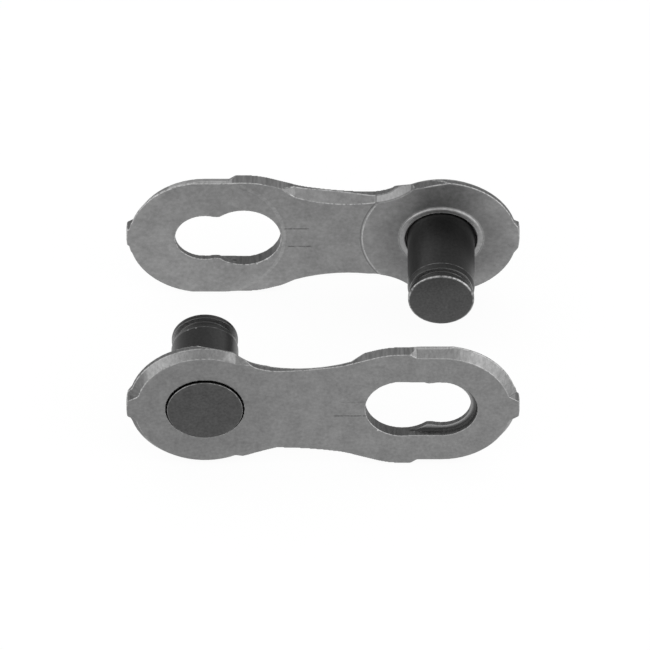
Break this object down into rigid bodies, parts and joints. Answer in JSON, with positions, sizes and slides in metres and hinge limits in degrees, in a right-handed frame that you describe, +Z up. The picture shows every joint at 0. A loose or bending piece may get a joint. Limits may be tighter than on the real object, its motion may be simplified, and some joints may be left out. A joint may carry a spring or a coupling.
{
  "type": "bicycle chain quick link",
  "caption": "Openable bicycle chain link, shown apart: matching stamped side plates, each with a riveted grooved pin and a keyhole slot.",
  "frame": {"origin": "centre of the open link's bounding box, midway between the two plates and on the chain's centre line", "axes": "+X along the chain, +Y along the pins from the front half to the back half, +Z upward across the plates' height"},
  "size_m": [0.0212, 0.0142, 0.0082],
  "materials": {
    "plate_steel": "satin, fine grain",
    "pin_steel": "dark, turned, half matt"
  },
  "bodies": {
    "back_half": {"back_plate": "plate_steel", "back_pin": "pin_steel"},
    "front_half": {"front_plate": "plate_steel", "front_pin": "pin_steel"}
  },
  "joints": [
    {"name": "close", "type": "slide", "parent": "back_half", "child": "front_half", "axis": [0.2401, 0.9708, 0], "range_m": [0, 0.00866]}
  ]
}
